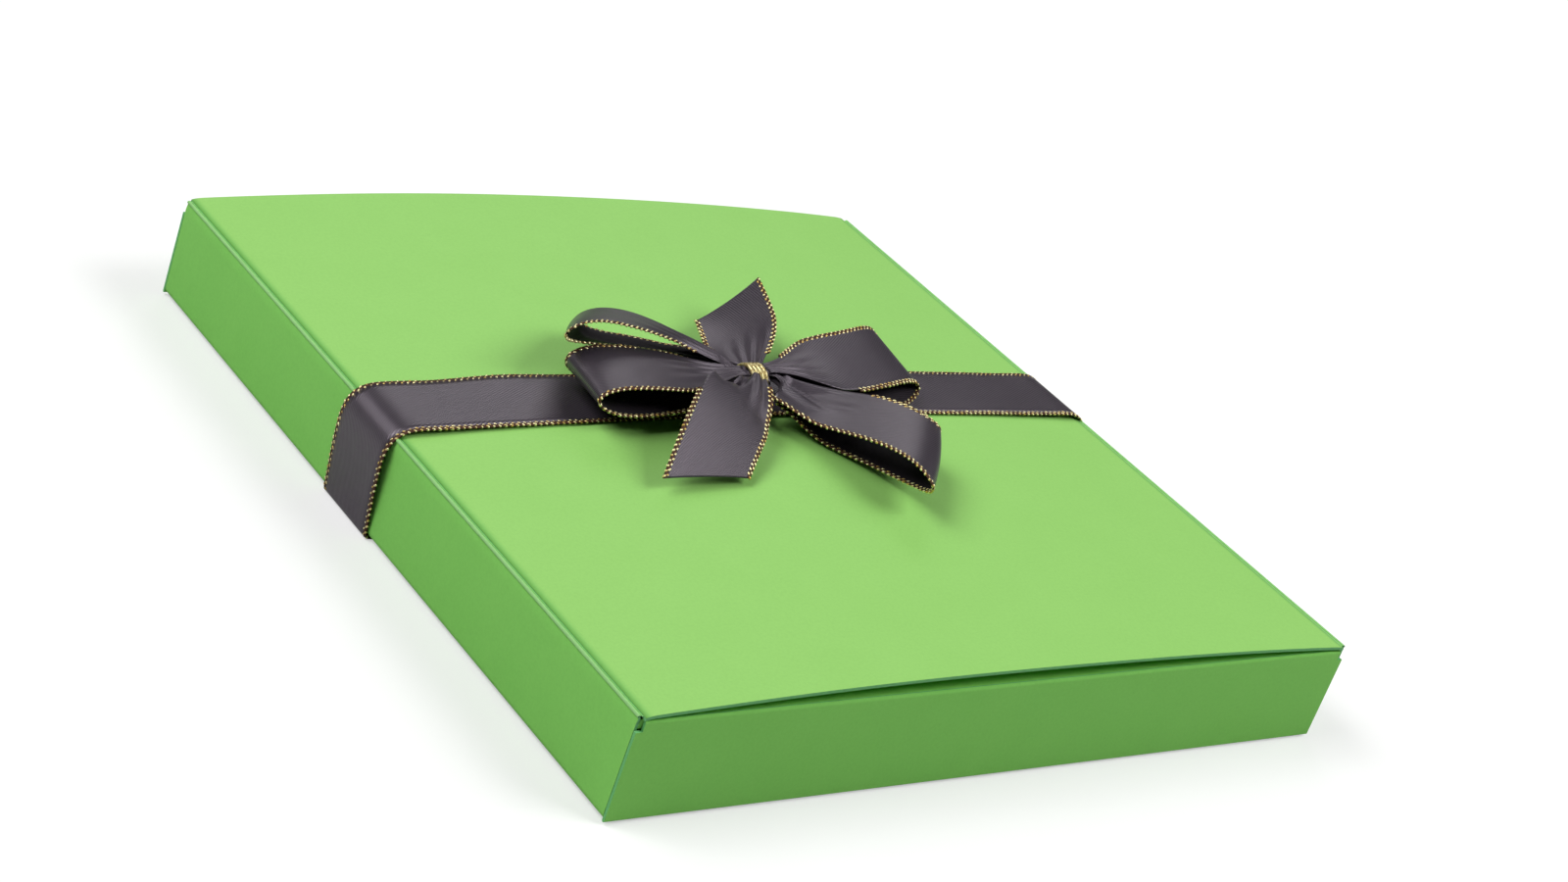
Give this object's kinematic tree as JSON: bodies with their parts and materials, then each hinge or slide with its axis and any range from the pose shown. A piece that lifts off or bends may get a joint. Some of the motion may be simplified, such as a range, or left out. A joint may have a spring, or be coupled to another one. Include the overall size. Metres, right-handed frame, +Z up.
{
  "type": "gift box",
  "caption": "Flat green card gift box with hinged tuck-in ends, and a gold-edged satin ribbon band with a bow that slides off",
  "frame": {"origin": "on the resting surface, under the middle of the box", "axes": "+X along the ribbon, +Y from the near end to the far end, +Z up"},
  "size_m": [0.151, 0.155, 0.0333],
  "materials": {
    "green_card": "matte",
    "grey_satin": "satin",
    "gold_thread": "metallic",
    "clear_glue": "gloss"
  },
  "bodies": {
    "sleeve": {"bottom_panel": "green_card", "left_side_panel": "green_card", "right_side_panel": "green_card", "top_panel": "green_card", "glue_flap": "green_card"},
    "near_closure": {"near_closure_panel": "green_card"},
    "near_tuck": {"near_tuck_flap": "green_card"},
    "near_left_dust": {"near_left_dust_flap": "green_card"},
    "near_right_dust": {"near_right_dust_flap": "green_card"},
    "far_closure": {"far_closure_panel": "green_card"},
    "far_tuck": {"far_tuck_flap": "green_card"},
    "far_left_dust": {"far_left_dust_flap": "green_card"},
    "far_right_dust": {"far_right_dust_flap": "green_card"},
    "ribbon": {"ribbon_band": "grey_satin", "band_edging": "gold_thread", "upper_left_loop": "grey_satin", "lower_left_loop": "grey_satin", "upper_right_loop": "grey_satin", "lower_right_loop": "grey_satin", "near_tail": "grey_satin", "far_tail": "grey_satin", "upper_left_edging": "gold_thread", "lower_left_edging": "gold_thread", "upper_right_edging": "gold_thread", "lower_right_edging": "gold_thread", "near_tail_edging": "gold_thread", "far_tail_edging": "gold_thread", "bow_waist": "grey_satin", "binding_cord": "gold_thread", "glue_dot": "clear_glue"}
  },
  "joints": [
    {"name": "near_closure_fold", "type": "hinge", "parent": "sleeve", "child": "near_closure", "pos_m": [0, -0.07723, 0.00075], "axis": [1, 0, 0], "range_deg": [0, 90]},
    {"name": "near_tuck_fold", "type": "hinge", "parent": "near_closure", "child": "near_tuck", "pos_m": [0, -0.07695, 0.01762], "axis": [-1, 0, 0], "range_deg": [0, 64]},
    {"name": "far_closure_fold", "type": "hinge", "parent": "sleeve", "child": "far_closure", "pos_m": [0, 0.07723, 0.00075], "axis": [-1, 0, 0], "range_deg": [0, 90]},
    {"name": "far_tuck_fold", "type": "hinge", "parent": "far_closure", "child": "far_tuck", "pos_m": [0, 0.07695, 0.01762], "axis": [1, 0, 0], "range_deg": [0, 64]},
    {"name": "near_left_dust_fold", "type": "hinge", "parent": "sleeve", "child": "near_left_dust", "pos_m": [-0.07445, -0.07625, 0.009], "axis": [0, 0, 1], "range_deg": [0, 80]},
    {"name": "near_right_dust_fold", "type": "hinge", "parent": "sleeve", "child": "near_right_dust", "pos_m": [0.07445, -0.07625, 0.009], "axis": [0, 0, -1], "range_deg": [0, 80]},
    {"name": "far_left_dust_fold", "type": "hinge", "parent": "sleeve", "child": "far_left_dust", "pos_m": [-0.07445, 0.07625, 0.009], "axis": [0, 0, -1], "range_deg": [0, 80]},
    {"name": "far_right_dust_fold", "type": "hinge", "parent": "sleeve", "child": "far_right_dust", "pos_m": [0.07445, 0.07625, 0.009], "axis": [0, 0, 1], "range_deg": [0, 80]},
    {"name": "ribbon_slide", "type": "slide", "parent": "sleeve", "child": "ribbon", "axis": [0, 1, 0], "range_m": [-0.092, 0.082]}
  ],
  "couplings": [
    {"joint": "near_tuck_fold", "follows": "near_closure_fold", "ratio": 0.7},
    {"joint": "far_tuck_fold", "follows": "far_closure_fold", "ratio": 0.7}
  ]
}
